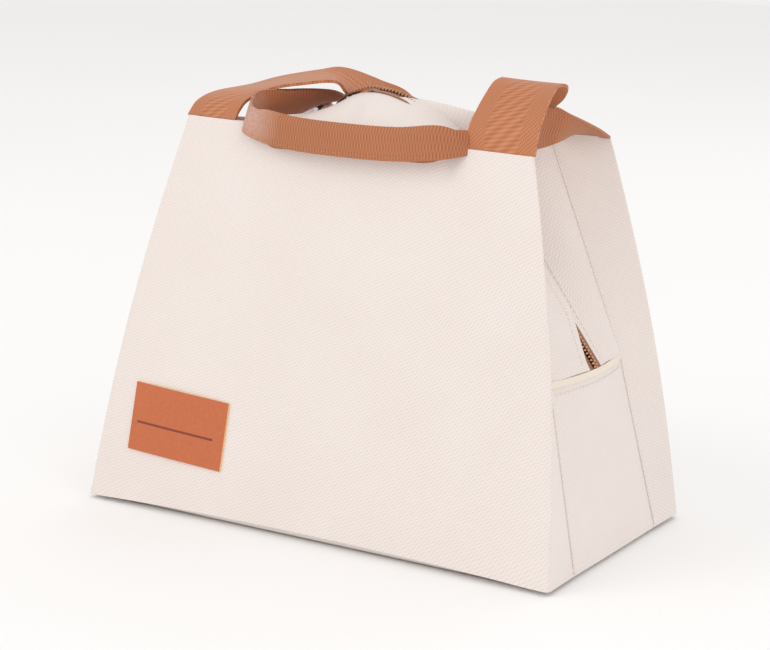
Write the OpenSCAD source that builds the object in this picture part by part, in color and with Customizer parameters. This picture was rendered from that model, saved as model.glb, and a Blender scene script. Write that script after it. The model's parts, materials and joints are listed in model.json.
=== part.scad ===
// Insulated lunch bag: a zipped, padded tote with two webbing handles.
// X is the width, -Y the front, +Z up. The origin is the middle of the bottom.

/* [Bag body] */
// Width across the bottom
bottom_w = 280; // [250:1:310]
// Depth across the bottom, front to back
bottom_d = 162; // [140:1:185]
// Width of the front and back panels along their top edge
top_w = 208; // [190:1:225]
// Depth between the front and back top edges
top_d = 90; // [84:1:100]
// Height of the front and back panels
panel_h = 210; // [195:1:230]
// Height of the low side panels, up to their bound hem
hem_h = 97; // [85:1:110]

/* [Side seams] */
// Half of a side panel's width at the bottom
seam_low = 50; // [40:1:56]
// Half of a side panel's width at its hem
seam_hem = 42; // [36:1:46]
// Half of the gusset's width at the top of the panels
seam_top = 35; // [32:1:38]
// Distance of the seam from the middle at the hem
seam_hem_x = 116; // [112:1:118]
// Distance of the seam from the middle at the top
seam_top_x = 72; // [66:1:76]

/* [Cloth and padding] */
// Thickness of the outer cloth
cloth_t = 0.8; // [0.6:0.1:1.2]
// Thickness of the foam in the panels
foam_t = 3; // [2:0.5:4]
// Thickness of the foam in the zip strips
strip_foam_t = 2; // [1:0.5:2.5]
// Thickness of the lining film
lining_t = 0.4; // [0.3:0.1:0.6]

/* [Zip] */
// Distance of the zip's lower ends from the middle
zip_low_x = 122; // [118:1:126]
// Radius of the rounded top, measured along the zip
dome_r = 42; // [38:1:46]
// Height of the zip at the crown
crown_h = 228; // [224:1:236]
// Distance of the cloth edge from the zip's centre line
strip_edge = 6.5; // [5.5:0.5:8]
// Distance of the teeth's outer edge from the centre line
teeth_edge = 2.4; // [2:0.1:3]
// Gap between the centre line and the teeth on the slopes
teeth_gap = 0.6; // [0.5:0.1:0.8]
// The same gap on the crown, where the halves fold past each other
crown_gap = 1.7; // [1.7:0.1:2]
// Slider length
slider_l = 10; // [8:1:12]
// Slider width
slider_w = 9; // [8:0.5:11]
// Length of the pull tab beyond its eye
tab_l = 22; // [15:1:30]
// Width of the pull tab
tab_w = 6; // [4:0.5:8]

/* [Handles] */
// Width of the webbing
webbing_w = 36; // [30:1:36]
// Thickness of the webbing
webbing_t = 2; // [1.5:0.1:2.4]
// Distance of each strap's middle from the bag's middle at its base
strap_x = 85; // [83:1:86]

/* [Label] */
// Width of the leather patch
patch_w = 60; // [40:1:80]
// Height of the leather patch
patch_h = 37; // [25:1:45]
// Thickness of the leather patch
patch_t = 1.2; // [0.8:0.1:2]

/* [Hidden] */
sides = ["left", "right"];

// Gap left between two layers, so that their faces never cross
layer_gap = 0.02;
wall_t = cloth_t + foam_t + lining_t;
strip_t = cloth_t + strip_foam_t + lining_t;
lean = atan((bottom_d - top_d) / 2 / panel_h);

// The zip runs straight up each side and then over the crown on an arc that meets the slopes
dome_z = crown_h - dome_r;
zip_low = [zip_low_x, hem_h + 1];
reach = norm([zip_low_x, zip_low[1] - dome_z]);
// Angle of the slopes, whose lines touch the crown's circle
slope = 90 - acos(dome_r / reach) - atan2(zip_low[1] - dome_z, zip_low_x);
dome_x = dome_r * sin(slope);
arc_top_z = dome_z + dome_r * cos(slope);
slope_l = norm([zip_low_x - dome_x, arc_top_z - zip_low[1]]);

tape_top = 0.3;
tape_bottom = 1.1;
teeth_top = -0.6;
teeth_bottom = 1.6;
clear = 0.3;

// The crown halves hinge on the lower edge of their outer end, just inside the panels
flap_y = top_d / 2 - wall_t - 0.4;
flap_x = seam_top_x - 3.5;
crown_rows = 12;

// A folded tape over the raw top edge of each side panel
binding_h = 8;
binding_t = 0.7;

panel_levels = [cloth_t, hem_h, panel_h];
side_levels = [cloth_t, hem_h - binding_h, hem_h];
front_cols = [6, 7, 8, 9];
back_cols = [1, 2, 3, 4];
right_cols = [9, 0, 1];
left_cols = [4, 5, 6];
// Side panels and strips stop this share of their width short of the seam
seam_share = 0.012;

// ---------------------------------------------------------------- surfaces

function mix(a, b, t) = a + (b - a) * t;
function flat(rows) = [for (row = rows) for (p = row) p];
function rise(z) = (z - hem_h) / (panel_h - hem_h);

function corner(z) = [mix(bottom_w, top_w, z / panel_h) / 2, mix(bottom_d, top_d, z / panel_h) / 2];
function seam(z) = z < hem_h
    ? mix([bottom_w / 2, seam_low], [seam_hem_x, seam_hem], z / hem_h)
    : mix([seam_hem_x, seam_hem], [seam_top_x, seam_top], rise(z));
function middle(z) = z < hem_h
    ? mix(bottom_w / 2, zip_low_x, z / hem_h)
    : mix(zip_low_x, dome_x, rise(z));

// The bag's plan outline at one height, counter-clockwise from the middle of the right side
function outline(z) = let (c = corner(z), s = seam(z), m = middle(z)) [
    [m, 0], s, c, [-c[0], c[1]], [-s[0], s[1]],
    [-m, 0], -s, -c, [c[0], -c[1]], [s[0], -s[1]],
];
function inward(a, b) = let (d = (b - a) / norm(b - a)) [-d[1], d[0]];
// One corner of the outline moved inwards by a depth, mitred between its two walls
function inset(ring, i, depth) = let (
    n = len(ring),
    before = inward(ring[(i + n - 1) % n], ring[i]),
    after = inward(ring[i], ring[(i + 1) % n])
) ring[i] + depth * (before + after) / (1 + before * after);
function wall_point(i, z, depth) = let (p = inset(outline(z), i, depth)) [p[0], p[1], z];
function wall_grid(cols, levels, depth) =
    [for (z = levels) [for (i = cols) wall_point(i, z, depth)]];
function side_grid(cols, levels, depth) = [for (row = wall_grid(cols, levels, depth)) [
    mix(row[0], row[1], seam_share), row[1], mix(row[2], row[1], seam_share)
]];

// A closed solid between two grids of points, where columns crossed with rows point outwards
module skin(outside, inside) {
    rows = len(outside);
    cols = len(outside[0]);
    function o(i, j) = i * cols + j;
    function n(i, j) = rows * cols + o(i, j);
    polyhedron(
        points = concat(flat(outside), flat(inside)),
        faces = concat(
            [for (i = [0:rows - 2]) for (j = [0:cols - 2]) each [
                [o(i, j), o(i + 1, j + 1), o(i, j + 1)],
                [o(i, j), o(i + 1, j), o(i + 1, j + 1)],
                [n(i, j), n(i, j + 1), n(i + 1, j + 1)],
                [n(i, j), n(i + 1, j + 1), n(i + 1, j)],
            ]],
            [for (j = [0:cols - 2]) each [
                [o(0, j), o(0, j + 1), n(0, j + 1)],
                [o(0, j), n(0, j + 1), n(0, j)],
                [o(rows - 1, j + 1), o(rows - 1, j), n(rows - 1, j)],
                [o(rows - 1, j + 1), n(rows - 1, j), n(rows - 1, j + 1)],
            ]],
            [for (i = [0:rows - 2]) each [
                [o(i + 1, 0), o(i, 0), n(i, 0)],
                [o(i + 1, 0), n(i, 0), n(i + 1, 0)],
                [o(i, cols - 1), o(i + 1, cols - 1), n(i + 1, cols - 1)],
                [o(i, cols - 1), n(i + 1, cols - 1), n(i, cols - 1)],
            ]]
        ),
        convexity = 6
    );
}

// One layer of a front or back panel, or of a side panel, between two depths
function below(depth) = depth > 0 ? depth + layer_gap : depth;
module panel_layer(cols, from, to) {
    skin(wall_grid(cols, panel_levels, below(from)), wall_grid(cols, panel_levels, to));
}

module side_layer(cols, levels, from, to) {
    skin(side_grid(cols, levels, below(from)), side_grid(cols, levels, to));
}

// ---------------------------------------------------------------- zip strips

// A point on the right slope of the zip: t runs from the hem to the crown, y across the zip.
// Its depth is measured square to the slope, and both ends are cut off level and upright.
function slope_point(t, y, depth) = [
    mix(zip_low_x, dome_x, t) - (t < 0.5 ? depth / sin(slope) : 0),
    y,
    mix(zip_low[1], arc_top_z, t) - (t < 0.5 ? 0 : depth / cos(slope)),
];
// The front right slope of a strip, from its side seam to a line beside the zip
function strip_grid(depth) = [for (t = [0, 1]) let (
    at_seam = wall_point(9, mix(hem_h, panel_h, t), depth),
    at_zip = slope_point(t, -strip_edge, depth)
) [mix(at_seam, at_zip, seam_share), at_zip]];
function slope_band(y0, y1, depth) =
    [for (t = [0, 1]) [slope_point(t, -y0, depth), slope_point(t, -y1, depth)]];

// A point over the crown: a is the angle from the top of the arc, y across the zip
function crown_point(a, y, depth) = [
    (dome_r * sin(a)), y, dome_z + dome_r * cos(a) - depth / cos(a)
];
crown_end = slope - 1.2;
crown_angles = [for (k = [0:crown_rows]) mix(crown_end, -crown_end, k / crown_rows)];
function crown_grid(depth) = [for (a = crown_angles)
    [[flap_x * a / slope, -flap_y, panel_h - depth], crown_point(a, -strip_edge, depth)]];
function crown_band(y0, y1, depth) =
    [for (a = crown_angles) [crown_point(a, -y0, depth), crown_point(a, -y1, depth)]];

module back_if(is_back) {
    mirror([0, is_back ? 1 : 0, 0]) children();
}

module left_if(is_left) {
    mirror([is_left ? 1 : 0, 0, 0]) children();
}

// Each layer of a zip strip: the cloth, the foam, the lining, the tape and the teeth
module strip_layer(name, side, from, to) {
    back_if(name == "back")
        left_if(side == "left")
            if (side == "top") skin(crown_grid(below(from)), crown_grid(to));
            else skin(strip_grid(below(from)), strip_grid(to));
}

module zip_band(name, side, outer_y, inner_y, from, to) {
    back_if(name == "back")
        left_if(side == "left")
            if (side == "top")
                skin(crown_band(outer_y, inner_y, from), crown_band(outer_y, inner_y, to));
            else
                skin(slope_band(outer_y, inner_y, from), slope_band(outer_y, inner_y, to));
}

module strip_cloth(name, side) {
    color("ivory") strip_layer(name, side, 0, cloth_t);
}

module strip_foam(name, side) {
    color("whitesmoke") strip_layer(name, side, cloth_t, cloth_t + strip_foam_t);
}

module strip_lining(name, side) {
    color("silver") strip_layer(name, side, cloth_t + strip_foam_t, strip_t);
}

module tape(name, side) {
    inner_y = side == "top" ? teeth_edge + 0.9 : teeth_edge;
    color("saddlebrown") zip_band(name, side, strip_edge, inner_y, tape_top, tape_bottom);
}

module teeth(name, side) {
    outer_y = side == "top" ? teeth_edge + 0.9 : teeth_edge;
    inner_y = side == "top" ? crown_gap : teeth_gap;
    color("peru") zip_band(name, side, outer_y, inner_y, teeth_top, teeth_bottom);
}

// ---------------------------------------------------------------- panels

module panel_cloth(cols) { color("ivory") panel_layer(cols, 0, cloth_t); }
module panel_foam(cols) { color("whitesmoke") panel_layer(cols, cloth_t, cloth_t + foam_t); }
module panel_lining(cols) { color("silver") panel_layer(cols, cloth_t + foam_t, wall_t); }

module side_cloth(cols) { color("ivory") side_layer(cols, side_levels, 0, cloth_t); }
module side_foam(cols) {
    color("whitesmoke") side_layer(cols, side_levels, cloth_t, cloth_t + foam_t);
}
module side_lining(cols) {
    color("silver") side_layer(cols, side_levels, cloth_t + foam_t, wall_t);
}
module hem_binding(cols) {
    color("tan") side_layer(cols, [hem_h - binding_h, hem_h], -binding_t, 0);
}

module bottom_sheet(from, to) {
    // The walls lean in, so a sheet between them takes its size from its top face
    inner = corner(to) - (wall_t + 0.4) * [1, 1];
    translate([0, 0, from])
        linear_extrude(to - from)
            square(2 * inner, center = true);
}

module bottom_panel() {
    color("ivory")
        linear_extrude(cloth_t)
            square([bottom_w, bottom_d], center = true);
}

module bottom_foam() { color("whitesmoke") bottom_sheet(cloth_t, cloth_t + foam_t); }
module bottom_lining() { color("silver") bottom_sheet(cloth_t + foam_t, wall_t); }

module label_patch() {
    patch_x = -86;
    patch_z = 48;
    face_y = corner(patch_z)[1];
    color("tan")
        translate([patch_x, -face_y, patch_z])
            rotate([-lean, 0, 0])
                rotate([0, 2.5, 0])
                    translate([-patch_w / 2, -patch_t, -patch_h / 2])
                        cube([patch_w, patch_t, patch_h]);
}

// ---------------------------------------------------------------- slider

// Stands a shape on the left slope: X up the slope, Z out of the cloth
module on_left_slope(along) {
    translate([-zip_low_x + along * cos(slope), 0, zip_low[1] + along * sin(slope)])
        rotate([0, -slope, 0])
            children();
}

slider_at = 12;
plate_t = 1.2;
plate_gap = 0.3;
top_plate_z = -teeth_top + plate_gap;
bottom_plate_z = -teeth_bottom - plate_gap - plate_t;
bar_r = 0.7;
eye_r = 2;
eye_bore = 1;
bar_z = top_plate_z + plate_t + eye_r + clear;
post_y = 2.2;
post_t = 0.9;
neck_l = 2;

module slider_plate(z) {
    corner_r = 2;
    translate([0, 0, z])
        linear_extrude(plate_t)
            union() {
                square([slider_l, slider_w - 2 * corner_r], center = true);
                square([slider_l - 2 * corner_r, slider_w], center = true);
                for (x = [-1, 1]) for (y = [-1, 1])
                    translate([x * (slider_l / 2 - corner_r), y * (slider_w / 2 - corner_r)])
                        circle(corner_r, $fn = 32);
            }
}

module slider_body() {
    color("peru") on_left_slope(slider_at) {
        slider_plate(top_plate_z);
        slider_plate(bottom_plate_z);
        // The neck between the plates runs in the gap between the two rows of teeth
        translate([slider_l / 2 - 1 - neck_l, clear - teeth_gap, bottom_plate_z])
            cube([neck_l, 2 * (teeth_gap - clear), top_plate_z + plate_t - bottom_plate_z]);
        // Two posts and the bar that the pull tab hangs on
        for (y = [-1, 1])
            translate([-1, y > 0 ? post_y : -post_y - post_t, top_plate_z])
                cube([2, post_t, bar_z + bar_r - top_plate_z]);
        translate([0, post_y + post_t, bar_z])
            rotate([90, 0, 0])
                cylinder(h = 2 * (post_y + post_t), r = bar_r, $fn = 24);
    }
}

module pull_tab() {
    tab_t = 1.4;
    color("peru") on_left_slope(slider_at) translate([0, 0, bar_z]) {
        difference() {
            union() {
                translate([0, post_y - clear, 0])
                    rotate([90, 0, 0])
                        cylinder(h = 2 * (post_y - clear), r = eye_r, $fn = 32);
                translate([-5, clear - post_y, -tab_t / 2])
                    cube([4, 2 * (post_y - clear), tab_t]);
                translate([-tab_l + tab_w / 2, -tab_w / 2, -tab_t / 2])
                    cube([tab_l - tab_w / 2 - 4, tab_w, tab_t]);
                translate([-tab_l + tab_w / 2, 0, -tab_t / 2])
                    cylinder(h = tab_t, d = tab_w, $fn = 32);
            }
            translate([0, tab_w, 0])
                rotate([90, 0, 0])
                    cylinder(h = 2 * tab_w, r = eye_bore, $fn = 32);
        }
    }
}

// A metal clip that closes the zip at the foot of each slope
stop_l = 3;
module zip_stop(is_left) {
    color("peru")
        mirror([is_left ? 0 : 1, 0, 0])
            on_left_slope(stop_l / 2 + 0.4)
                translate([0, 0, teeth_top + 0.1])
                    cube([stop_l, 2 * (teeth_gap - 0.05), 2], center = true);
}

// ---------------------------------------------------------------- handles

// Each handle's side view at rest as [y, z], from its base over the crown to its hanging grip
front_arch = [
    [-43.5, 211.5], [-43, 223], [-37, 235], [-24, 243], [-6, 246], [14, 245],
    [34, 239], [48, 230], [56, 219], [59, 202],
];
back_arch = [
    [43.5, 211.5], [42.5, 219], [36, 226], [22, 231], [4, 233.5], [-16, 232.5],
    [-36, 228], [-49, 221], [-56, 211], [-58, 199],
];
grip_rows = 2;
// How far a strap's middle moves sideways before it crosses the other handle
front_shift = 5;
back_shift = -36;
shift_rows = 4;

function arch_normal(arch, k) = let (
    a = arch[max(k - 1, 0)],
    b = arch[min(k + 1, len(arch) - 1)],
    d = (b - a) / norm(b - a)
) [-d[1], d[0]];
function strap_middle(k, shift) = strap_x + shift * min(k / shift_rows, 1);
function strap_row(arch, k, x0, x1, depth) = let (p = arch[k] + depth * arch_normal(arch, k))
    [[x0, p[0], p[1]], [x1, p[0], p[1]]];

// A strip of webbing over rows of the arch, from x0 to x1 at each row
module webbing(arch, first, last, x0, x1) {
    skin(
        [for (k = [first:last]) strap_row(arch, k, x0[k], x1[k], webbing_t / 2)],
        [for (k = [first:last]) strap_row(arch, k, x0[k], x1[k], -webbing_t / 2)]
    );
}

module handle(arch, shift) {
    last = len(arch) - 1;
    inner = [for (k = [0:last]) strap_middle(k, shift) - webbing_w / 2];
    outer = [for (k = [0:last]) strap_middle(k, shift) + webbing_w / 2];
    color("tan") union() {
        for (is_left = [false, true])
            left_if(is_left) webbing(arch, 0, last, inner, outer);
        webbing(arch, last - grip_rows, last, -outer, outer);
    }
}

module front_handle() { handle(front_arch, front_shift); }
module back_handle() { handle(back_arch, back_shift); }

// ---------------------------------------------------------------- the parts

panel_cloth(front_cols);  // front_panel
panel_cloth(back_cols);  // back_panel
bottom_panel();
side_cloth(left_cols);  // left_side_panel
side_cloth(right_cols);  // right_side_panel
hem_binding(left_cols);  // left_hem_binding
hem_binding(right_cols);  // right_hem_binding
panel_foam(front_cols);  // front_foam
panel_foam(back_cols);  // back_foam
bottom_foam();
side_foam(left_cols);  // left_side_foam
side_foam(right_cols);  // right_side_foam
panel_lining(front_cols);  // front_lining
panel_lining(back_cols);  // back_lining
bottom_lining();
side_lining(left_cols);  // left_side_lining
side_lining(right_cols);  // right_side_lining
for (name = ["front", "back"]) for (side = ["left", "right", "top"]) {
    strip_cloth(name, side);
    strip_foam(name, side);
    strip_lining(name, side);
    tape(name, side);
    teeth(name, side);
}
zip_stop(true);  // left_zip_stop
zip_stop(false);  // right_zip_stop
slider_body();
pull_tab();
front_handle();
back_handle();
label_patch();
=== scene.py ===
# %% [markdown]
# # A soft insulated lunch bag
# Soft goods are easiest to build as surfaces that follow a rule. Each cloth piece here starts as a
# flat grid, and a small function says where every point of the grid goes in space. The packed
# model gives the frame, and the pieces repeat its dimensions, so they lie close to their solids.
# The two handles do not: they lie twisted, in places several centimetres from their plain arched
# solids. Lengths are in metres unless a comment says otherwise.

# %% Load the frame
import sys, json, math
import bpy
import numpy as np
from mathutils import Quaternion, Vector
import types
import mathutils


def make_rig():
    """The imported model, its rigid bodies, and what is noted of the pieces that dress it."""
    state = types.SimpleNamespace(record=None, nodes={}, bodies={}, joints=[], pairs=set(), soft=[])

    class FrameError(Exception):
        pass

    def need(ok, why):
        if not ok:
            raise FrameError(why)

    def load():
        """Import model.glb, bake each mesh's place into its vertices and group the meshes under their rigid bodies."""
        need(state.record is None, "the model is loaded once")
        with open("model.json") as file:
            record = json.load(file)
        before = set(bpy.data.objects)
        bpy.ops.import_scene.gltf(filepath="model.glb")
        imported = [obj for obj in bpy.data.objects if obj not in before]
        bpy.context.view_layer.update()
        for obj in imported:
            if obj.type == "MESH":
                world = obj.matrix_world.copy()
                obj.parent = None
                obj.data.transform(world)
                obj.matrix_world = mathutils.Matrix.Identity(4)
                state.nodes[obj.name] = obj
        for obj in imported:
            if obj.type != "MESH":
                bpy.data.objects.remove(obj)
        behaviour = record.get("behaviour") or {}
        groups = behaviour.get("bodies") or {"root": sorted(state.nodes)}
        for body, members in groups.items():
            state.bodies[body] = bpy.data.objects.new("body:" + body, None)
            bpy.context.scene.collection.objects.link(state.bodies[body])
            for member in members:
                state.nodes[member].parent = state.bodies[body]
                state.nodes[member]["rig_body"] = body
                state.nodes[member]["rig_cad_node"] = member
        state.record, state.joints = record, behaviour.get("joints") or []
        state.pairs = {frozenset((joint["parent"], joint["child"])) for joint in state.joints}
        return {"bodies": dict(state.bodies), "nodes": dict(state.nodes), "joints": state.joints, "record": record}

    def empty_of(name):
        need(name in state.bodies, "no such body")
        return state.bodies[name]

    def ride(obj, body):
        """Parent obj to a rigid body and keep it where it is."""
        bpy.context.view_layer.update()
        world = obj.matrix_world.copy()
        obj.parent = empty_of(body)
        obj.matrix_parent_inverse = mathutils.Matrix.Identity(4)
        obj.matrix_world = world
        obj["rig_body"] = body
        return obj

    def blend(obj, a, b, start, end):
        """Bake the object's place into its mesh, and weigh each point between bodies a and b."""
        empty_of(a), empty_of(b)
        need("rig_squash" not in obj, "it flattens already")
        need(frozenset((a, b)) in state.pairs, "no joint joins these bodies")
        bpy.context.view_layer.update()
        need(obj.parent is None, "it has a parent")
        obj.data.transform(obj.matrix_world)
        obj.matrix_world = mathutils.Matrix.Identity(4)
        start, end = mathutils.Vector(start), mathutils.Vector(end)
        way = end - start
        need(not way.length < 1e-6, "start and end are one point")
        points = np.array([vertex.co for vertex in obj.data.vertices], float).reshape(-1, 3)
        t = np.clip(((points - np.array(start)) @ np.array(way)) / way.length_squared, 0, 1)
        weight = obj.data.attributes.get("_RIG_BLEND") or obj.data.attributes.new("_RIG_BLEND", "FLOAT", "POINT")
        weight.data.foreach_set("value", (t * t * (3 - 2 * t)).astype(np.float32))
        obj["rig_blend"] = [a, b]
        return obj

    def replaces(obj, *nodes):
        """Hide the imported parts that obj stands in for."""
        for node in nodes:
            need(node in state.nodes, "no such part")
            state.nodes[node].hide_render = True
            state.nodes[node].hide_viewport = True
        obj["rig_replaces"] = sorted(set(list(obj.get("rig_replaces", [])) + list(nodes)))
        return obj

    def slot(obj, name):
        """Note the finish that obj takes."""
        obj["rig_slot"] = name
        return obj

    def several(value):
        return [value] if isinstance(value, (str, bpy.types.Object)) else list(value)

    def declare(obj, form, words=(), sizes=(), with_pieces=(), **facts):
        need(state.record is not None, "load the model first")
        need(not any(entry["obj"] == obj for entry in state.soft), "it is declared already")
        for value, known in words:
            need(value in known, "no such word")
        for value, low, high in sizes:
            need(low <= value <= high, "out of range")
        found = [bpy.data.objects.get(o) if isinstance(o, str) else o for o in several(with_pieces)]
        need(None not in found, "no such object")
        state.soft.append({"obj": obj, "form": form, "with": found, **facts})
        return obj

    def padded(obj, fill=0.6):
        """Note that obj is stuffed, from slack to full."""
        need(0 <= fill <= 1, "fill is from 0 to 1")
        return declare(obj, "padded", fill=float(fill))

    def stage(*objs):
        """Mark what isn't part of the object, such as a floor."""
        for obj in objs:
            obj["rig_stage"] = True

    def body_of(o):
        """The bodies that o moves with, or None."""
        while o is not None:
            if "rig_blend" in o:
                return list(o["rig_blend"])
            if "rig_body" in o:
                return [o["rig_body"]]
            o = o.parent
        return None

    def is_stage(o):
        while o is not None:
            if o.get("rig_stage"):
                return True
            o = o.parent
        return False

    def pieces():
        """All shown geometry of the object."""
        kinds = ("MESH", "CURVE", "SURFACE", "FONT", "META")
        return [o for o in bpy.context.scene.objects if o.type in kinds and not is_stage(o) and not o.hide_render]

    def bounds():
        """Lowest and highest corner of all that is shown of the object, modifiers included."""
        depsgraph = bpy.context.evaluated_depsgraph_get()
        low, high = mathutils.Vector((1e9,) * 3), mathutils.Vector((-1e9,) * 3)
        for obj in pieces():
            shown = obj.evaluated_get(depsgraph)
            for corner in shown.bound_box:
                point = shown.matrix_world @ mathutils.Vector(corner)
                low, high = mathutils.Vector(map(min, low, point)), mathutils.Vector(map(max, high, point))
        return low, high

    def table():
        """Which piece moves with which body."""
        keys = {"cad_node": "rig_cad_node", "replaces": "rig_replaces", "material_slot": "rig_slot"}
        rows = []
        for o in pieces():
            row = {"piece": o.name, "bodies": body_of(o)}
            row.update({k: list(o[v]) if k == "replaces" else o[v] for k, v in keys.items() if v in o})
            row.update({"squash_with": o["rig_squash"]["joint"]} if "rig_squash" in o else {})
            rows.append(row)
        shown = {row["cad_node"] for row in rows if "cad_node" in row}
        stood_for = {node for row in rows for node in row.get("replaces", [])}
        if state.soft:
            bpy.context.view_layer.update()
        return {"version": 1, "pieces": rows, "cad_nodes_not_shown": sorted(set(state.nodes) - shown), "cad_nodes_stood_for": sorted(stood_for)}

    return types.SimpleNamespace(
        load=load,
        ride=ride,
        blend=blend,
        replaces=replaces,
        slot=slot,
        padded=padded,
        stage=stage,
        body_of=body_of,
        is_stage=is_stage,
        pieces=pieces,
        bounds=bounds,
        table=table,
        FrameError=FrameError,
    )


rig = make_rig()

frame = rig.load()
size_before = [list(map(float, corner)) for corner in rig.bounds()]
print("nodes", len(frame["nodes"]), "bodies", sorted(frame["bodies"]))

# %% Driving dimensions
MM = 0.001
BOTTOM_W, BOTTOM_D = 280 * MM, 162 * MM
TOP_W, TOP_D = 208 * MM, 90 * MM
PANEL_H, HEM_H = 210 * MM, 97 * MM
DOME_R, DOME_Z, DOME_X = 42 * MM, 186 * MM, 33.1 * MM
ZIP_LOW_X, ZIP_LOW_Z = 122 * MM, 98 * MM
STRIP_EDGE, TEETH_EDGE = 6.5 * MM, 2.4 * MM
HINGE_Y, HINGE_X = 40.4 * MM, 68.5 * MM
WALL, CLOTH_T, FILM_T, STRIP_T = 4.2 * MM, 0.8 * MM, 0.4 * MM, 3.2 * MM
WEB_W, WEB_T = 36 * MM, 1.6 * MM
BOW = 5.5 * MM
SEAM_BOTTOM, SEAM_HEM, SEAM_TOP = (140 * MM, 50 * MM), (116 * MM, 42 * MM), (72 * MM, 35 * MM)
CORNER_R, PANEL_STEPS = 2.4 * MM, (12, 96, 12)
MIDDLE = Vector((0, 0, 100 * MM))  # faces turn away from here, and the lights point at it
DOME_ANGLE = math.asin(DOME_X / DOME_R)
print("zip arc, degrees", round(math.degrees(2 * DOME_ANGLE), 1))

# %% [markdown]
# ## Helpers
# A grid primitive has its points in rows. Moving them with `foreach_set` keeps the grid's faces
# and its UV map, so the weave of the cloth can follow the threads in real lengths.

# %% Making pieces from grids
def mix(a, b, k):
    return a + (b - a) * k


def select_only(obj):
    bpy.ops.object.select_all(action="DESELECT")
    obj.select_set(True)
    bpy.context.view_layer.objects.active = obj


def run_along(points):
    """The length of a path from its start to each of its points."""
    return np.r_[0, np.cumsum(np.linalg.norm(np.diff(points, axis=0), axis=1))]


def points_at(lengths, run, points):
    """Points of a path, or of values given along it, at those lengths from its start."""
    return np.array([np.interp(lengths, run, points[:, k]) for k in range(3)]).T


def grid_piece(name, rows, thick, mats, offset=-1.0, rim=0):
    """rows[j][i] is a point. The sheet gets that thickness, growing inwards when offset is -1.
    A second material goes on the inner face, and on the rim too when rim is 1."""
    pts = np.array(rows, float)
    nv, nu = pts.shape[:2]
    bpy.ops.mesh.primitive_grid_add(x_subdivisions=nu - 1, y_subdivisions=nv - 1, size=2)
    obj = bpy.context.active_object
    obj.name = obj.data.name = name
    mesh = obj.data
    flat = np.empty(len(mesh.vertices) * 3)
    mesh.vertices.foreach_get("co", flat)
    co = flat.reshape(-1, 3)
    i = np.rint((co[:, 0] + 1) / 2 * (nu - 1)).astype(int)
    j = np.rint((co[:, 1] + 1) / 2 * (nv - 1)).astype(int)
    mesh.vertices.foreach_set("co", pts[j, i].ravel())
    # The UV map holds real lengths along the sheet
    su, sv = run_along(pts[nv // 2]), run_along(pts[:, nu // 2])
    loops = np.empty(len(mesh.loops), int)
    mesh.loops.foreach_get("vertex_index", loops)
    mesh.uv_layers[0].data.foreach_set("uv", np.c_[su[i[loops]], sv[j[loops]]].ravel())
    mesh.update()
    facing = sum((f.center - MIDDLE).dot(f.normal) * f.area for f in mesh.polygons)
    select_only(obj)
    if facing < 0:
        bpy.ops.object.mode_set(mode="EDIT")
        bpy.ops.mesh.select_all(action="SELECT")
        bpy.ops.mesh.flip_normals()
        bpy.ops.object.mode_set(mode="OBJECT")
    for mat in mats:
        mesh.materials.append(mat)
    solid = obj.modifiers.new("Thickness", "SOLIDIFY")
    solid.thickness, solid.offset = thick, offset
    if len(mats) > 1:
        solid.material_offset, solid.material_offset_rim = 1, rim
    bpy.ops.object.modifier_apply(modifier=solid.name)
    bpy.ops.object.shade_smooth_by_angle(angle=math.radians(50))
    return obj


def blocks(name, places, size, mat):
    """Many small rounded blocks in one mesh: each place is (centre, direction, outwards)."""
    verts, faces = [], []
    half_length, half_width, half_height = (v / 2 for v in size)
    for centre, direction, outward in places:
        along, up = Vector(direction).normalized(), Vector(outward).normalized()
        across = along.cross(up).normalized()
        first = len(verts)
        # Four rings of four corners. The end rings are smaller, which rounds the block
        for step, shrink in ((-1, 0.55), (-0.6, 1), (0.6, 1), (1, 0.55)):
            for a, b in ((-1, -1), (1, -1), (1, 1), (-1, 1)):
                verts.append(Vector(centre) + along * (half_length * step)
                             + across * (half_width * a * shrink) + up * (half_height * b * shrink))
        for ring in range(3):
            for k in range(4):
                a, b = first + 4 * ring + k, first + 4 * ring + (k + 1) % 4
                faces.append((a, b, b + 4, a + 4))
        faces.append((first + 3, first + 2, first + 1, first))
        faces.append((first + 12, first + 13, first + 14, first + 15))
    mesh = bpy.data.meshes.new(name)
    mesh.from_pydata(verts, [], faces)
    mesh.materials.append(mat)
    obj = bpy.data.objects.new(name, mesh)
    bpy.context.collection.objects.link(obj)
    select_only(obj)
    bpy.ops.object.mode_set(mode="EDIT")
    bpy.ops.mesh.select_all(action="SELECT")
    bpy.ops.mesh.normals_make_consistent(inside=False)
    bpy.ops.object.mode_set(mode="OBJECT")
    return obj


STITCH, STITCH_PITCH = (2.4 * MM, 0.45 * MM, 0.3 * MM), 3.4 * MM


def stitch_line(name, path, outward, mat):
    """Evenly spaced stitches on a path of points."""
    points = np.array(path, float)
    run = run_along(points)
    at = np.arange(STITCH_PITCH, run[-1] - STITCH_PITCH, STITCH_PITCH)
    here, ahead = points_at(at, run, points), points_at(at + STITCH_PITCH / 4, run, points)
    return blocks(name, [(a, b - a, outward) for a, b in zip(here, ahead)], STITCH, mat)


# %% [markdown]
# ## Materials
# The weave is a node group: two sine waves at right angles make the crossing threads. It gives
# out a height only, so each material decides its own colours and shine. A few short helpers keep
# each finish down to the lines that make it different.

# %% Small node helpers
def link_math(tree, op, a, b=None, c=None):
    """A math node. Each value is a number or another node's output."""
    node = tree.nodes.new("ShaderNodeMath")
    node.operation = op
    for socket, value in zip(node.inputs, (a, b, c)):
        if value is None:
            continue
        if isinstance(value, (int, float)):
            socket.default_value = value
        else:
            tree.links.new(value, socket)
    return node.outputs[0]


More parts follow.
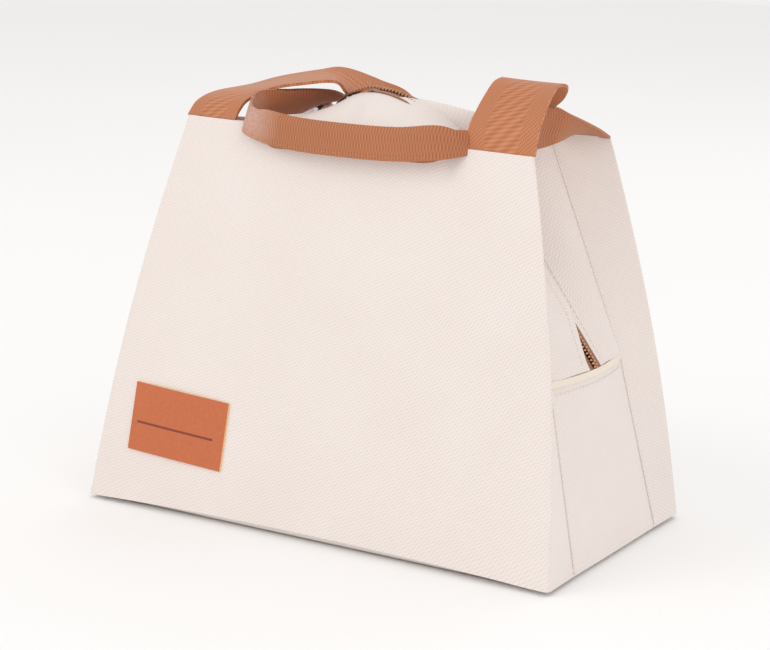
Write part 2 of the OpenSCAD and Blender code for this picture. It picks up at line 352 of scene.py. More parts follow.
def link_noise(tree, place, scale, detail):
    node = tree.nodes.new("ShaderNodeTexNoise")
    node.inputs["Scale"].default_value, node.inputs["Detail"].default_value = scale, detail
    tree.links.new(place, node.inputs["Vector"])
    return node.outputs["Fac"]


def link_colours(tree, a, b, factor):
    """From colour a to colour b. Each is (r, g, b) or another node's output."""
    node = tree.nodes.new("ShaderNodeMix")
    node.data_type = "RGBA"
    for socket, value in (("A", a), ("B", b)):
        if isinstance(value, tuple):
            node.inputs[socket].default_value = (*value, 1)
        else:
            tree.links.new(value, node.inputs[socket])
    tree.links.new(factor, node.inputs["Factor"])
    return node.outputs["Result"]


def link_bump(tree, height, strength, depth, shader):
    node = tree.nodes.new("ShaderNodeBump")
    node.inputs["Strength"].default_value, node.inputs["Distance"].default_value = strength, depth
    tree.links.new(height, node.inputs["Height"])
    tree.links.new(node.outputs[0], shader.inputs["Normal"])


def new_material(name):
    mat = bpy.data.materials.new(name)
    mat.use_nodes = True
    tree = mat.node_tree
    return mat, tree, tree.nodes["Principled BSDF"], tree.nodes.new("ShaderNodeTexCoord").outputs["Object"]


# %% The weave group
def weave_group():
    group = bpy.data.node_groups.new("Weave", "ShaderNodeTree")
    for name, kind in (("Vector", "NodeSocketVector"), ("Pitch U", "NodeSocketFloat"),
                       ("Pitch V", "NodeSocketFloat"), ("Angle", "NodeSocketFloat")):
        group.interface.new_socket(name, in_out="INPUT", socket_type=kind)
    group.interface.new_socket("Height", in_out="OUTPUT", socket_type="NodeSocketFloat")
    given, result = group.nodes.new("NodeGroupInput"), group.nodes.new("NodeGroupOutput")
    turned = group.nodes.new("ShaderNodeVectorRotate")
    turned.rotation_type = "Z_AXIS"
    group.links.new(given.outputs["Vector"], turned.inputs["Vector"])
    group.links.new(given.outputs["Angle"], turned.inputs["Angle"])
    split = group.nodes.new("ShaderNodeSeparateXYZ")
    group.links.new(turned.outputs[0], split.inputs[0])
    waves = []
    for axis, pitch in (("X", "Pitch U"), ("Y", "Pitch V")):
        ratio = link_math(group, "DIVIDE", split.outputs[axis], given.outputs[pitch])
        waves.append(link_math(group, "SINE", link_math(group, "MULTIPLY", ratio, 2 * math.pi)))
    crossing = link_math(group, "MULTIPLY", *waves)
    # The crossing waves run from -1 to 1, and the height from 0 to 1
    group.links.new(link_math(group, "MULTIPLY_ADD", crossing, 0.5, 0.5), result.inputs["Height"])
    return group


weave = weave_group()

# %% Two kinds of finish
UNEVEN = 0.35  # how much of a cloth's shade comes from the slow noise
CLOTH_BUMP, GRAIN_BUMP = 0.8, 0.6  # bump strengths


def fabric(name, dark, light, pitch, angle, rough=0.85, sheen=0.25, bump=0.12, wear_and_sheen=None):
    """Cloth whose threads follow the UV map, with slow uneven shade as real cloth has.
    bump is in millimetres. The last argument is a place, a reach and a colour: there the threads are painted pale,
    partly for rubbed wear and partly as a painted highlight."""
    mat, tree, shader, place = new_material(name)
    threads = tree.nodes.new("ShaderNodeGroup")
    threads.node_tree = weave
    tree.links.new(tree.nodes.new("ShaderNodeUVMap").outputs[0], threads.inputs["Vector"])
    threads.inputs["Pitch U"].default_value, threads.inputs["Pitch V"].default_value = pitch
    threads.inputs["Angle"].default_value = math.radians(angle)
    slow, fine = link_noise(tree, place, 22, 4), link_noise(tree, place, 900, 2)
    shade = link_math(tree, "MULTIPLY", threads.outputs["Height"], 1 - UNEVEN)
    shade = link_math(tree, "ADD", shade, link_math(tree, "MULTIPLY", slow, UNEVEN))
    colour = link_colours(tree, dark, light, shade)
    if wear_and_sheen:
        centre, reach, pale = wear_and_sheen
        apart = tree.nodes.new("ShaderNodeVectorMath")
        apart.operation = "DISTANCE"
        apart.inputs[1].default_value = centre
        tree.links.new(place, apart.inputs[0])
        near = link_math(tree, "SUBTRACT", 1.0, link_math(tree, "DIVIDE", apart.outputs["Value"], reach))
        # Painted highlight and wear: towards this place the webbing is painted pale, for the rubbed threads and their
        # sheen
        rubbed_and_sheen = link_math(tree, "MULTIPLY", link_math(tree, "MAXIMUM", near, 0.0), fine)
        colour = link_colours(tree, colour, pale, link_math(tree, "MULTIPLY", rubbed_and_sheen, 1.6))
    tree.links.new(colour, shader.inputs["Base Color"])
    height = link_math(tree, "ADD", threads.outputs["Height"], link_math(tree, "MULTIPLY", fine, 0.5))
    link_bump(tree, height, CLOTH_BUMP, bump * MM, shader)
    shader.inputs["Roughness"].default_value = rough
    shader.inputs["Sheen Weight"].default_value = sheen
    return mat


def solid_finish(name, dark, light, scale, rough, metal=0.0, bump=0.05, stretch=(1, 1, 1)):
    """Leather, thread, metal or film: grain from noise in object space. bump is in millimetres."""
    mat, tree, shader, place = new_material(name)
    fit = tree.nodes.new("ShaderNodeMapping")
    fit.inputs["Scale"].default_value = stretch
    tree.links.new(place, fit.inputs["Vector"])
    grain = link_noise(tree, fit.outputs[0], scale, 6)
    tree.links.new(link_colours(tree, dark, light, grain), shader.inputs["Base Color"])
    # Roughness swings by 0.1 to each side
    tree.links.new(link_math(tree, "MULTIPLY_ADD", grain, 0.2, rough - 0.1), shader.inputs["Roughness"])
    shader.inputs["Metallic"].default_value = metal
    link_bump(tree, grain, GRAIN_BUMP, bump * MM, shader)
    return mat


# %% Every finish on the bag
CLOTH = fabric("outer_cloth", (0.72, 0.635, 0.59), (0.88, 0.81, 0.775), (1.7 * MM, 7 * MM), 50)
# Handling has rubbed the left end of the grip: its pale patch is partly that wear and partly a painted highlight, the
# sheen of the rubbed webbing
WEAR_AND_SHEEN = ((-0.058, -0.050, 0.214), 0.020, (0.62, 0.40, 0.33))
WEB = fabric("webbing", (0.33, 0.10, 0.037), (0.67, 0.26, 0.108), (2.0 * MM, 5 * MM), 35, 0.6, 0.12, 0.2)
RIBBED = fabric("webbing_ribbed", (0.25, 0.072, 0.026), (0.60, 0.22, 0.088), (9 * MM, 1.7 * MM), 0, 0.6, 0.12,
                0.2, wear_and_sheen=WEAR_AND_SHEEN)
TAPE = fabric("zip_tape", (0.20, 0.08, 0.04), (0.36, 0.16, 0.08), (0.9 * MM, 1.4 * MM), 0, 0.8)
BIND = fabric("binding_tape", (0.78, 0.68, 0.57), (0.90, 0.82, 0.72), (1.0 * MM, 1.0 * MM), 0)
LEATHER = solid_finish("leather_patch", (0.46, 0.105, 0.032), (0.62, 0.17, 0.062), 700, 0.55, bump=0.08)
CUT_EDGE = solid_finish("leather_cut_edge", (0.78, 0.47, 0.20), (0.92, 0.64, 0.32), 900, 0.8)
BURNT = solid_finish("pressed_leather", (0.17, 0.03, 0.012), (0.26, 0.05, 0.02), 700, 0.5)
THREAD = solid_finish("thread", (0.72, 0.66, 0.60), (0.86, 0.82, 0.77), 1500, 0.7, stretch=(1, 1, 4))
WEB_THREAD = solid_finish("webbing_thread", (0.40, 0.17, 0.08), (0.6, 0.28, 0.14), 1500, 0.7)
TEETH = solid_finish("zip_teeth", (0.45, 0.20, 0.10), (0.72, 0.38, 0.20), 500, 0.3, 1.0)
METAL = solid_finish("zip_metal", (0.50, 0.30, 0.16), (0.70, 0.45, 0.26), 300, 0.3, 1.0)
FILM = solid_finish("lining_film", (0.62, 0.63, 0.65), (0.82, 0.83, 0.85), 60, 0.32, 0.7, bump=0.4)
print("materials", len(bpy.data.materials))

# %% [markdown]
# ## The body
# Each level of the front is a path in plan: from a side seam, round one corner, across the panel,
# round the other corner, to the other seam. The corners are short curves, not sharp bends.

# %% Where the seams and corners run
def corner(z):
    k = min(max(z / PANEL_H, 0), 1)
    swell = BOW * math.sin(math.pi * k) ** 0.9
    return mix(BOTTOM_W, TOP_W, k) / 2 + swell, mix(BOTTOM_D, TOP_D, k) / 2


def seam(z):
    """Where the wing meets the side: straight from the bottom to the hem, and on to the top."""
    low, high, k = SEAM_BOTTOM, SEAM_HEM, z / HEM_H
    if z >= HEM_H:
        low, high, k = SEAM_HEM, SEAM_TOP, (z - HEM_H) / (PANEL_H - HEM_H)
    return mix(low[0], high[0], k), mix(low[1], high[1], k)


def rounded_path(points, radius, counts):
    """Straight runs with `counts` steps each, joined by small curves at the inner points."""
    points = [np.array(point, float) for point in points]
    ends = [points[0]]
    for k in range(1, len(points) - 1):
        for other in (points[k - 1], points[k + 1]):
            away = other - points[k]
            ends.append(points[k] + away / np.linalg.norm(away) * radius)
    ends.append(points[-1])
    path = []
    for k, count in enumerate(counts):
        a, b = ends[2 * k], ends[2 * k + 1]
        path += [mix(a, b, i / count) for i in range(count)] + [b]
        if k + 1 < len(counts):
            bend, c = points[k + 1], ends[2 * k + 2]
            path += [(1 - t) ** 2 * b + 2 * t * (1 - t) * bend + t * t * c for t in (0.25, 0.5, 0.75)]
    return path


def panel_path(z):
    """The outside of a panel at that height, in plan, from the left seam to the right seam."""
    (cx, cy), (sx, sy) = corner(z), seam(z)
    return rounded_path([(-sx, sy), (-cx, cy), (cx, cy), (sx, sy)], CORNER_R, PANEL_STEPS)


def soft(x, z):
    """Slow undulation of the padded cloth, fading out at the seams."""
    k = min(max(z / PANEL_H, 0), 1)
    calm = math.sin(math.pi * k) * max(0, math.cos(x / 0.30 * math.pi))
    wave = math.sin(31 * x + 14 * z) + 0.6 * math.sin(52 * z - 23 * x + 1.3)
    return calm * (2.6 * MM + 0.5 * MM * wave)


# The bottom edge rises in the middle: how far, below what height, and across what half width
EDGE_RISE, EDGE_BELOW, EDGE_HALF = 3.6 * MM, 14 * MM, 130 * MM
# The front handle pulls the top edge down: the place of each pucker, its half width and depth
PUCKERS = ((56 * MM, 5 * MM, 2.6 * MM), (-64 * MM, 4 * MM, 1.6 * MM))
PUCKER_FROM, PUCKER_RUN = 190 * MM, 20 * MM


def pucker(x, z):
    near = max(0, (z - PUCKER_FROM) / PUCKER_RUN)
    return near * sum(depth * math.exp(-((x - at) / half) ** 2) for at, half, depth in PUCKERS)


def shell_rows(side, levels):
    rows = []
    for z in levels:
        panel_y = corner(z)[1]
        row = []
        for x, y in panel_path(z):
            rise = EDGE_RISE * max(0, 1 - z / EDGE_BELOW) * max(0, 1 - (x / EDGE_HALF) ** 2)
            dip = pucker(x, z) if side < 0 else 0.0
            bulge = soft(x, z) if abs(y - panel_y) < 0.1 * MM else 0.0
            row.append((x, side * (y + bulge - dip * 0.8), z + rise - dip))
        rows.append(row)
    return rows


# %% Front and back panels, with their wings
LEVELS = list(np.linspace(2.5 * MM, PANEL_H + 0.9 * MM, 72))
for side, word in ((-1, "front"), (1, "back")):
    obj = grid_piece(f"{word}_shell", shell_rows(side, LEVELS), CLOTH_T, [CLOTH])
    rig.replaces(obj, f"{word}_panel")
    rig.slot(obj, "outer_cloth")
    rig.padded(obj, fill=0.8)
    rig.ride(obj, "bag")
    print(obj.name, len(obj.data.polygons), "faces")

# %% The turned edge over the foam at the top
TURNED_Z, TURNED_ROUND, TURNED_T = PANEL_H + 0.65 * MM, 0.25 * MM, 0.5 * MM
for side, word in ((-1, "front"), (1, "back")):
    (cx, cy), (sx, sy) = corner(PANEL_H), seam(PANEL_H)
    outer = panel_path(PANEL_H)
    inner = rounded_path([(-sx, sy - WALL), (-cx + WALL * 2, cy - WALL), (cx - WALL * 2, cy - WALL),
                          (sx, sy - WALL)], 1.5 * MM, PANEL_STEPS)
    rows = []
    for k in np.linspace(0, 1, 6):
        z = TURNED_Z + TURNED_ROUND * math.sin(math.pi * k)
        rows.append([(mix(a[0], b[0], k), side * mix(a[1] - 0.7 * MM, b[1], k), z)
                     for a, b in zip(outer, inner)])
    obj = grid_piece(f"{word}_top_turning", rows, TURNED_T, [CLOTH])
    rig.ride(obj, "bag")
    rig.slot(obj, "outer_cloth")

# %% The film inside, set in by the wall's thickness
FILM_IN = 18 * MM  # how far inside the cloth's corner the film turns
for side, word in ((-1, "front"), (1, "back")):
    rows = []
    for z in np.linspace(4 * MM, PANEL_H - 0.5 * MM, 60):
        (cx, cy), (sx, sy) = corner(z), seam(z)
        path = rounded_path([(-sx + 2 * MM, sy - 1 * MM), (-cx + FILM_IN, cy - WALL),
                             (cx - FILM_IN, cy - WALL), (sx - 2 * MM, sy - 1 * MM)], 3 * MM, (8, 40, 8))
        rows.append([(x, side * y, z) for x, y in path])
    film = grid_piece(f"{word}_film", rows, FILM_T, [FILM])
    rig.replaces(film, f"{word}_foam", f"{word}_lining")
    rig.slot(film, "lining_film")
    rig.ride(film, "bag")

# %% [markdown]
# ## Sides and bottom
# The side panels stop at the hem, where a pale tape binds them. The bottom is a shallow pillow:
# its middle lies just above the floor and its edge curls up to the seam.

# %% Side panels and their hem tape
SIDE_T, HEM_TAPE_T = 2.4 * MM, 0.6 * MM


def side_point(side, k, z, out=0.0):
    """k runs from -1 at the front seam to 1 at the back seam."""
    sx, sy = seam(z)
    reach = mix(BOTTOM_W / 2, ZIP_LOW_X, min(z / HEM_H, 1)) - sx
    return (side * (sx + reach * (1 - k * k) + out), sy * k, z)


for side, word in ((-1, "left"), (1, "right")):
    across = np.linspace(-1, 1, 49)
    rows = [[side_point(side, k, z) for k in across] for z in np.linspace(2.5 * MM, HEM_H, 40)]
    obj = grid_piece(f"{word}_side", rows, SIDE_T, [CLOTH, FILM])
    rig.replaces(obj, f"{word}_side_panel", f"{word}_side_foam", f"{word}_side_lining")
    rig.slot(obj, "outer_cloth")
    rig.padded(obj, fill=0.8)
    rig.ride(obj, "bag")
    rows = [[side_point(side, k, z, (0.75 + 0.2 * math.sin(math.pi * s)) * MM) for k in across]
            for s, z in zip(np.linspace(0, 1, 8), np.linspace(HEM_H - 2.6 * MM, HEM_H + 0.8 * MM, 8))]
    tape = grid_piece(f"{word}_hem_tape", rows, HEM_TAPE_T, [BIND])
    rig.replaces(tape, f"{word}_hem_binding")
    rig.slot(tape, "binding_tape")
    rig.ride(tape, "bag")
    line = [side_point(side, k, HEM_H - 6 * MM, 0.3 * MM) for k in np.linspace(-0.97, 0.97, 60)]
    sew = stitch_line(f"{word}_hem_stitches", line, (side, 0, 0.1), THREAD)
    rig.ride(sew, "bag")

# %% Seams between the wings and the sides
RIDGE_R, RIDGE_OUT = 0.7 * MM, 0.5 * MM
for side, word in ((-1, "left"), (1, "right")):
    for face, end in ((-1, "front"), (1, "back")):
        rows = []
        for z in np.linspace(4 * MM, 206 * MM, 90):
            x, y = seam(z)
            rows.append([(side * (x + RIDGE_OUT) + RIDGE_R * math.cos(t), face * y + RIDGE_R * math.sin(t), z)
                         for t in np.linspace(0, 2 * math.pi, 10)])
        ridge = grid_piece(f"{word}_{end}_seam", rows, 0.15 * MM, [CLOTH])
        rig.ride(ridge, "bag")
        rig.slot(ridge, "outer_cloth")

# %% Bottom panel
CURL, CURL_FROM = 4.6 * MM, 0.90  # how high the edge curls, and where that starts
FLOOR_GAP, BOTTOM_INSET = 0.3 * MM, 0.8 * MM
half_w, half_d = BOTTOM_W / 2 - BOTTOM_INSET, BOTTOM_D / 2 - BOTTOM_INSET
rows = []
for b in np.linspace(-1, 1, 44):
    row = []
    for a in np.linspace(-1, 1, 72):
        curled = max(0.0, (max(abs(a), abs(b)) - CURL_FROM) / (1 - CURL_FROM))
        row.append((a * half_w, b * half_d, FLOOR_GAP + CURL * curled ** 1.5))
    rows.append(row)
bottom = grid_piece("bottom_pillow", rows, SIDE_T, [CLOTH, FILM])
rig.replaces(bottom, "bottom_panel", "bottom_foam", "bottom_lining")
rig.slot(bottom, "outer_cloth")
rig.padded(bottom, fill=0.8)
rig.ride(bottom, "bag")
print("body pieces", len(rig.table()))

# %% [markdown]
# ## The zip closure
# One padded strip runs up the left slope, over the crown and down the right slope on each side of
# the zip. It crosses the joint where the crown folds, so it is blended between the two bodies.

# %% Rows along the zip
TUCK = 2.5 * MM  # the strip's ends lie this far behind the hem
LEAN, LEAN_FROM, LEAN_RUN = 10 * MM, 206 * MM, 22 * MM
CROWN_LIFT_LEFT, CROWN_LIFT_RIGHT = 1.9 * MM, 0.9 * MM
CROWN_PUFF, FRONT_LEFT_PUFF, SLOPE_PUFF, BACK_RIGHT_EXTRA = 3.2 * MM, 1.2 * MM, 2.0 * MM, 2.0 * MM
LAP_Y, LAP_LIFT = -3.0 * MM, 3.6 * MM
TEETH_PITCH, TEETH_END, TOOTH = 2 * MM, 3 * MM, (1.7 * MM, 1.1 * MM, 1.3 * MM)


def zip_rows():
    """From the left hem to the right hem: the zip's (x, z), the seam's point, the way out, and how
    far up the slope this is. On the crown that last value is None."""
    out = []
    slope_out = (-math.sin(DOME_ANGLE), 0, math.cos(DOME_ANGLE))
    for a in [-0.06, -0.03] + list(np.linspace(0, 0.97, 32)):
        z = mix(HEM_H, PANEL_H, a)
        sx, sy = seam(z)
        zx, zz = mix(ZIP_LOW_X, DOME_X, a), mix(ZIP_LOW_Z, DOME_Z + DOME_R * math.cos(DOME_ANGLE), a)
        tuck = TUCK * (a < 0)
        zx, sx = min(zx, ZIP_LOW_X) - tuck, sx - tuck
        out.append(((-zx, zz), (-sx, sy, z), slope_out, a))
    for b in np.linspace(-1, 0, 14):
        way = (math.sin(b * DOME_ANGLE), 0, math.cos(b * DOME_ANGLE))
        out.append(((DOME_R * way[0], DOME_Z + DOME_R * way[2]), (HINGE_X * b, HINGE_Y, PANEL_H), way, None))
    mirrored = [((-p[0], p[1]), (-e[0], e[1], e[2]), (-d[0], 0, d[2]), a) for p, e, d, a in out[-2::-1]]
    return out + mirrored


ROWS = zip_rows()
# Below the first of these a piece stays with the bag, and above the second it goes with the crown
FOLD_FROM, FOLD_TO = (0, 0, 0.186), (0, 0, 0.213)


def lean_crown(x, y, z):
    """The soft crown slumps a little to the left."""
    k = min(max((z - LEAN_FROM) / LEAN_RUN, 0), 1)
    return (x - LEAN * k * k * (3 - 2 * k), y, z)


def on_zip(row, y, lift=0.0):
    """A point beside the zip's middle. On the crown the zip stands up between the strips."""
    (x, z), _, out, a = row
    if a is None:
        lift += CROWN_LIFT_LEFT if x < 0 else CROWN_LIFT_RIGHT
    return lean_crown(x + out[0] * lift, y, z + out[2] * lift)


def lap_over(side, row):
    """How far the front strip laps over the zip, from 0 to 1. It does so only on the right."""
    (x, _), _, _, a = row
    if side > 0 or x <= 0:
        return 0.0
    return min(1.0, max(0.0, (x - 10 * MM) / (12 * MM) if a is None else (a - 0.02) / 0.2))


def puff_height(side, row):
    """The padding stands high on the crown but not at its front left, and higher at the back right."""
    (x, _), _, _, a = row
    puff = SLOPE_PUFF if a is not None else CROWN_PUFF
    if side < 0 and a is None and x < 0:
        puff = FRONT_LEFT_PUFF
    if side > 0 and x > 0:
        puff += BACK_RIGHT_EXTRA
    return puff


def strip_surface(side):
    """Rows of one padded strip, each from the seam to the zip, and the line its stitches follow."""
    rows, sewing = [], []
    for row in ROWS:
        (zx, zz), (ex, ey, ez), out, _ = row
        lap, puff = lap_over(side, row), puff_height(side, row)
        edge_y = mix(STRIP_EDGE, LAP_Y, lap)
        line = []
        for w in np.linspace(0, 1, 22):
            up = puff * math.sin(math.pi * w) * 1.6 * (1 - w) + lap * LAP_LIFT * w ** 3
            line.append(lean_crown(mix(ex, zx, w) + out[0] * up, side * mix(ey, edge_y, w),
                                   mix(ez, zz, w) + out[2] * up))
        rows.append(line)
        sewing.append(mix(np.array(line[18]), np.array(line[19]), 0.5) + np.array(out) * 0.15 * MM)
    return rows, sewing


def teeth_places(side):
    """One tooth every 2 mm. The back row starts half a pitch further on, so the two rows mesh."""
    line = np.array([on_zip(row, side * 1.5 * MM, 0.4 * MM) for row in ROWS])
    run = run_along(line)
    at = np.arange(TEETH_END + (side > 0) * TEETH_PITCH / 2, run[-1] - TEETH_END, TEETH_PITCH)
    ways_out = points_at(at, run, np.array([row[2] for row in ROWS]))
    return [(centre, (0, 1, 0), out) for centre, out in zip(points_at(at, run, line), ways_out)]


# %% Strips, tape, teeth and their stitches
for side, word in ((-1, "front"), (1, "back")):
    rows, sewing = strip_surface(side)
    strip = grid_piece(f"{word}_zip_strip", rows, STRIP_T * 0.6, [CLOTH, FILM])
    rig.replaces(strip, *[f"{word}_strip{layer}_{part}" for layer in ("", "_foam", "_lining")
                         for part in ("left", "right", "top")])
    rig.slot(strip, "outer_cloth")
    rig.padded(strip, fill=0.7)
    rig.blend(strip, "bag", f"{word}_crown", FOLD_FROM, FOLD_TO)
    tape_rows = [[on_zip(r, side * mix(STRIP_EDGE + 0.3 * MM, TEETH_EDGE - 0.4 * MM, w), -0.2 * MM)
                  for w in np.linspace(0, 1, 8)] for r in ROWS]
    tape = grid_piece(f"{word}_zip_tape", tape_rows, 0.6 * MM, [TAPE])
    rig.replaces(tape, *[f"{word}_tape_{part}" for part in ("left", "right", "top")])
    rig.slot(tape, "zip_tape")
    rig.blend(tape, "bag", f"{word}_crown", FOLD_FROM, FOLD_TO)
    teeth = blocks(f"{word}_zip_teeth", teeth_places(side), TOOTH, TEETH)
    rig.replaces(teeth, *[f"{word}_teeth_{part}" for part in ("left", "right", "top")])
    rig.slot(teeth, "zip_teeth")
    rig.blend(teeth, "bag", f"{word}_crown", FOLD_FROM, FOLD_TO)
    # The stitches stop short of the crown and of the hem
    for end, towards, line in (("left", -1, sewing[2:30]), ("right", 1, sewing[-30:-2])):
        sew = stitch_line(f"{word}_{end}_zip_stitches", line, (0.79 * towards, 0, 0.62), THREAD)
        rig.ride(sew, "bag")

# %% [markdown]
# ## Handles
# A strap is a ribbon through a few cross-sections. Each section has five points from one edge to
# the other, so the same ribbon can lie flat on the legs and fold in half lengthwise at the grip.

# %% Sections of a strap
def flat(a, b):
    """Webbing lying open, from one edge to the other. These sections are in millimetres."""
    a, b = np.array(a, float) * MM, np.array(b, float) * MM
    return [mix(a, b, k / 4) for k in range(5)]


def folded(x, y, top):
    """Webbing folded in half, its fold on top and both edges below."""
    half, gap, shoulder = WEB_W / 2 - 1.5 * MM, 1.3 * MM, 2 * MM
    x, y, top = x * MM, y * MM, top * MM
    return [np.array(point) for point in (
        (x, y - gap, top - half), (x, y - gap, top - shoulder), (x, y, top),
        (x, y + gap, top - shoulder), (x, y + gap, top - half))]


def smooth_rows(sections, steps):
    """Catmull-Rom curves through matching points of the sections."""
    q = np.array(sections, float)
    q = np.concatenate([[2 * q[0] - q[1]], q, [2 * q[-1] - q[-2]]])
    rows = []
    for k in range(1, len(q) - 2):
        a, b, c, d = q[k - 1], q[k], q[k + 1], q[k + 2]
        for i in range(steps):
            t = i / steps
            rows.append(0.5 * (2 * b + (c - a) * t + (2 * a - 5 * b + 4 * c - d) * t * t
                               + (3 * b - a - 3 * c + d) * t ** 3))
    rows.append(q[-2])
    return np.array(rows)


def widen(rows, count):
    """More points across each row of five."""
    wide = []
    for row in rows:
        spots = [(min(int(k), 3), k) for k in np.linspace(0, 4, count)]
        wide.append([mix(row[i], row[i + 1], k - i) for i, k in spots])
    return wide


# %% The two handles as they lie
BASE_Y, BASE_Z = 43.6, 210.6  # where both ends of a strap are sewn, in millimetres
# From the right base to the left base: the two edges of the webbing at each section
FRONT_HANDLE = [
    flat((65, -BASE_Y, BASE_Z), (102.5, -BASE_Y, BASE_Z)), flat((64.5, -42, 221), (103, -41, 223)),
    flat((66, -37, 230), (103.5, -34, 235)), flat((67.5, -31, 237.5), (102.5, -25, 241)),
    flat((68, -24, 242.5), (101.5, -17, 243.5)), flat((69, -17, 244), (103, -11, 242)),
    flat((62, -8, 240), (98, -5, 235)), flat((49, 10, 232), (79, 9, 222)),
    flat((38, 30, 223), (60, 34, 211)), folded(34, 50, 211), folded(14, 52, 210),
    folded(-5, 50, 211), flat((-8, 38, 207), (-15, 40, 221)), flat((-21, 18, 216), (-28, 28, 229.5)),
    flat((-29.5, -1, 224), (-41, 12, 236.3)), flat((-32, -12, 232), (-54, 7, 234.2)),
    flat((-45, -25, 231), (-74, 0, 229.5)), flat((-59, -31, 227.8), (-88, -8, 224.6)),
    flat((-70, -37, 221.5), (-99, -25, 221.5)), flat((-73, -41, 216), (-102.5, -37, 217.5)),
    flat((-74, -BASE_Y, BASE_Z), (-104, -BASE_Y, BASE_Z)),
]
BACK_HANDLE = [
    flat((67, BASE_Y, BASE_Z), (103, BASE_Y, BASE_Z)), flat((84, 31, 211.5), (102, 30, 216.5)),
    flat((88, 12, 210.5), (96, 11, 225)), flat((82, 0, 207.5), (89, 0, 230)),
    flat((76, -24, 207), (78, -18, 227)), flat((69, -40, 208), (67, -38, 223)),
    folded(54, -53, 221.5), folded(30, -55, 218.5), folded(0, -56, 217.5), folded(-28, -55, 217.5),
    folded(-50, -52, 219), flat((-66, -48, 207), (-64, -42, 225)),
    flat((-64, -22, 212), (-52, -22, 227)), flat((-60, 0, 212), (-42, 2, 225)),
    flat((-72, 20, 212), (-44, 20, 219)), flat((-98, 36, 213), (-64, 34, 216)),
    flat((-103, BASE_Y, BASE_Z), (-67, BASE_Y, BASE_Z)),
]
GRIP_HALF, GRIP_Y = 52 * MM, -50 * MM  # the back handle's grip lies within these
for word, sections, cloth in (("front", FRONT_HANDLE, WEB), ("back", BACK_HANDLE, RIBBED)):
    rows = smooth_rows(sections, 10)
    strap = grid_piece(f"{word}_strap", widen(rows, 17), WEB_T, [cloth], offset=0.0)
    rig.replaces(strap, f"{word}_handle")
    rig.slot(strap, "webbing")
    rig.ride(strap, f"{word}_handle")
    if word == "back":
        above_edge = np.array((0, -0.9 * MM, 2 * MM))
        grip = [row[0] + above_edge for row in rows if abs(row[2][0]) < GRIP_HALF and row[2][1] < GRIP_Y]
        sew = stitch_line("grip_stitches", grip, (0, -1, 0), WEB_THREAD)
        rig.ride(sew, "back_handle")
    print(word, "strap length, mm", round(run_along(rows[:, 2])[-1] / MM))

# %% [markdown]
# ## The patch
# The patch follows the panel's lean and bulge through one function, `on_patch`. The same function
# places the single rule line, which is darker where the leather was pressed.

# %% Leather patch
PATCH_W, PATCH_H, PATCH_T = 60 * MM, 37 * MM, 1.2 * MM
PATCH_X, PATCH_Z = -86 * MM, 48 * MM
PATCH_TURN = math.radians(-2.5)
LEAN_BACK = math.atan2((BOTTOM_D - TOP_D) / 2, PANEL_H)
RULE_FROM, RULE_TO, RULE_B = -25.9 * MM, 22.9 * MM, -2.8 * MM


def on_patch(a, b, out):
    """A point of the patch, a across and b up from its middle, standing out from the cloth."""
    x = PATCH_X + a * math.cos(PATCH_TURN) - b * math.sin(PATCH_TURN)
    height = a * math.sin(PATCH_TURN) + b * math.cos(PATCH_TURN)
    z = PATCH_Z + height * math.cos(LEAN_BACK)
    out += 0.5 * MM * math.cos(math.pi * a / PATCH_W)
    return (x, -(corner(z)[1] + soft(x, z)) - out * math.cos(LEAN_BACK), z + out * math.sin(LEAN_BACK))


rows = [[on_patch(u * PATCH_W, v * PATCH_H, PATCH_T) for u in np.linspace(-0.5, 0.5, 61)]
        for v in np.linspace(-0.5, 0.5, 38)]
patch = grid_piece("patch", rows, PATCH_T, [LEATHER, CUT_EDGE], rim=1)
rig.replaces(patch, "label_patch")
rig.slot(patch, "leather_patch")
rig.ride(patch, "bag")
rule = [on_patch(a, RULE_B, PATCH_T - 0.02 * MM) for a in np.linspace(RULE_FROM, RULE_TO, 40)]
bars = [(mix(np.array(p), np.array(q), 0.5), np.array(q) - np.array(p), (0, -1, 0.17))
        for p, q in zip(rule, rule[1:])]
pressed = blocks("patch_rule", bars, (1.7 * MM, 1.2 * MM, 0.18 * MM), BURNT)
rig.slot(pressed, "leather_patch")
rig.ride(pressed, "bag")

# %% Finish of the metal solids, which stay as the model has them
for name in ("slider_body", "pull_tab", "left_zip_stop", "right_zip_stop"):
    solid = frame["nodes"][name]
    solid.data.materials.clear()
    solid.data.materials.append(METAL)

# %% [markdown]
# ## Stage, light and camera
# A large soft light from the front left, a weaker one from the front right and a third from behind
# keep the pale cloth readable against a pale floor.

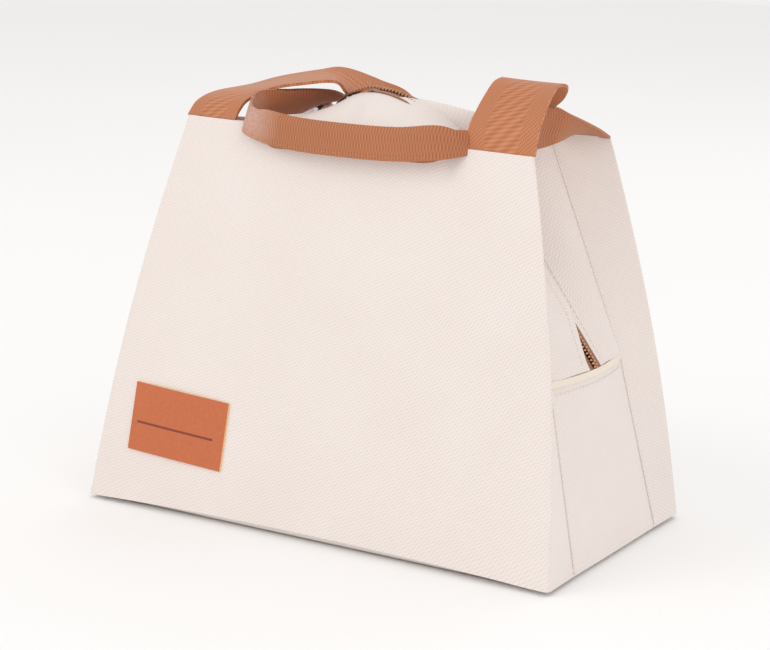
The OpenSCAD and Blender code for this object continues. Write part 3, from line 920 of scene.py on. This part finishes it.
# %% Floor and lights
bpy.ops.mesh.primitive_plane_add(size=6)
floor = bpy.context.active_object
floor.name = "floor"
floor.data.materials.append(solid_finish("floor", (0.93, 0.93, 0.93), (0.96, 0.96, 0.96), 3, 0.9, bump=0))
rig.stage(floor)
world = bpy.context.scene.world or bpy.data.worlds.new("studio")
bpy.context.scene.world = world
world.use_nodes = True
world.node_tree.nodes["Background"].inputs["Color"].default_value = (1, 0.99, 0.98, 1)
world.node_tree.nodes["Background"].inputs["Strength"].default_value = 0.88


def area(name, place, size, power):
    light = bpy.data.lights.new(name, "AREA")
    light.size, light.energy, light.color = size, power, (1, 0.98, 0.95)
    obj = bpy.data.objects.new(name, light)
    bpy.context.collection.objects.link(obj)
    obj.location = place
    obj.rotation_euler = (MIDDLE - Vector(place)).to_track_quat("-Z", "Y").to_euler()


area("key", (-0.9, -1.3, 1.2), 1.2, 6.5)
area("fill", (1.4, -0.8, 0.8), 1.4, 4)
area("rim", (0.2, 1.3, 1.4), 1.2, 3)
# Plain colours, without the film-like roll-off, suit a pale object on a pale floor
bpy.context.scene.view_settings.view_transform = "Standard"

# %% Camera
AZ, EL, ROLL, DIST = math.radians(29.45), math.radians(13.10), math.radians(2.12), 1.298
SENSOR, LENS = 36, 112.535  # in millimetres
target = Vector((-0.0034, 0, 0.1021))
back = Vector((math.sin(AZ) * math.cos(EL), -math.cos(AZ) * math.cos(EL), math.sin(EL)))
camera = bpy.data.objects.new("camera", bpy.data.cameras.new("camera"))
bpy.context.collection.objects.link(camera)
camera.location = target + back * DIST
look = (-back).to_track_quat("-Z", "Y")
camera.rotation_mode = "QUATERNION"
camera.rotation_quaternion = look @ Quaternion((0, 0, 1), ROLL)
camera.data.sensor_width, camera.data.lens = SENSOR, LENS
bpy.context.scene.camera = camera

# %% Size and finish
size_after = [list(map(float, corner_)) for corner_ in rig.bounds()]
with open("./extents.json", "w") as f:
    json.dump({"before": size_before, "after": size_after}, f)
print("before", size_before, "after", size_after)
